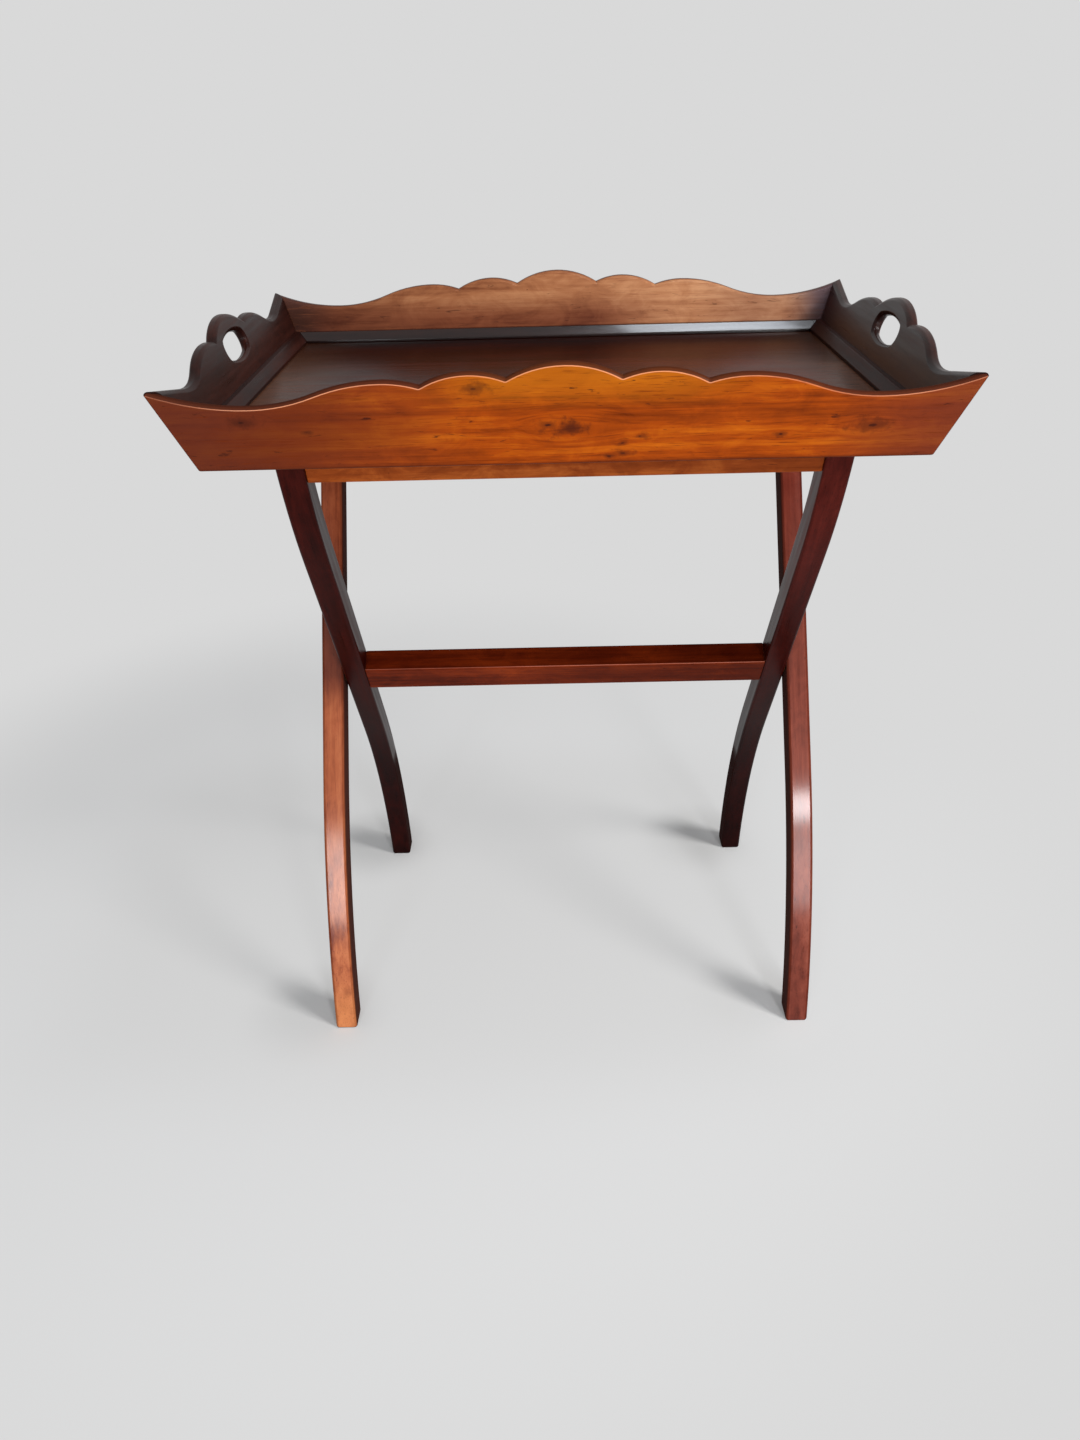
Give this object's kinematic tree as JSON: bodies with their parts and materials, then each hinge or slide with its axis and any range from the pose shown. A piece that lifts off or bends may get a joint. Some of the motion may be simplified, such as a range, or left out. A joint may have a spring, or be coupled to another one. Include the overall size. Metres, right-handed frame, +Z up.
{
  "type": "butlers tray table",
  "caption": "Folding X-frame wooden stand with bowed legs and a lift-off rectangular tray that has canted, scalloped boards and oval hand holes.",
  "frame": {"origin": "on the floor under the middle of the stand, below the pivots' axis", "axes": "+X along the tray's long side and the pivots' axis, to the right as seen from the front; +Y to the rear, so the front board looks to -Y; +Z up"},
  "size_m": [0.6608, 0.4934, 0.7534],
  "materials": {
    "tray_wood": "satin varnish on reddish-brown mahogany",
    "bead_wood": "satin varnish on dark mahogany",
    "floor_wood": "polished varnish on dark mahogany",
    "stand_wood": "satin varnish on reddish-brown mahogany",
    "pivot_brass": "dulled brass",
    "webbing": "woven herringbone webbing",
    "tack_brass": "dulled brass"
  },
  "bodies": {
    "inner_frame": {"inner_leg_left": "stand_wood", "inner_leg_right": "stand_wood", "stretcher": "stand_wood", "front_rail": "stand_wood", "pivot_bolts": "pivot_brass", "pivot_washers": "pivot_brass", "strap_left": "webbing", "strap_right": "webbing", "front_strap_tacks": "tack_brass"},
    "outer_frame": {"outer_leg_left": "stand_wood", "outer_leg_right": "stand_wood", "rear_rail": "stand_wood", "rear_strap_tacks": "tack_brass"},
    "tray": {"front_board": "tray_wood", "rear_board": "tray_wood", "left_end_board": "tray_wood", "right_end_board": "tray_wood", "front_bead": "bead_wood", "rear_bead": "bead_wood", "left_bead": "bead_wood", "right_bead": "bead_wood", "tray_floor": "floor_wood"}
  },
  "joints": [
    {"name": "fold", "type": "hinge", "parent": "inner_frame", "child": "outer_frame", "pos_m": [0, 0, 0.367], "axis": [1, 0, 0], "range_deg": [0, 56], "deforming": ["strap_left", "strap_right"]},
    {"name": "tray_lift", "type": "slide", "parent": "inner_frame", "child": "tray", "axis": [0, 0, 1], "range_m": [0, 0.2155]}
  ],
  "couplings": [
    {"joint": "tray_lift", "follows": "fold", "m_per_rad": 0.22}
  ]
}
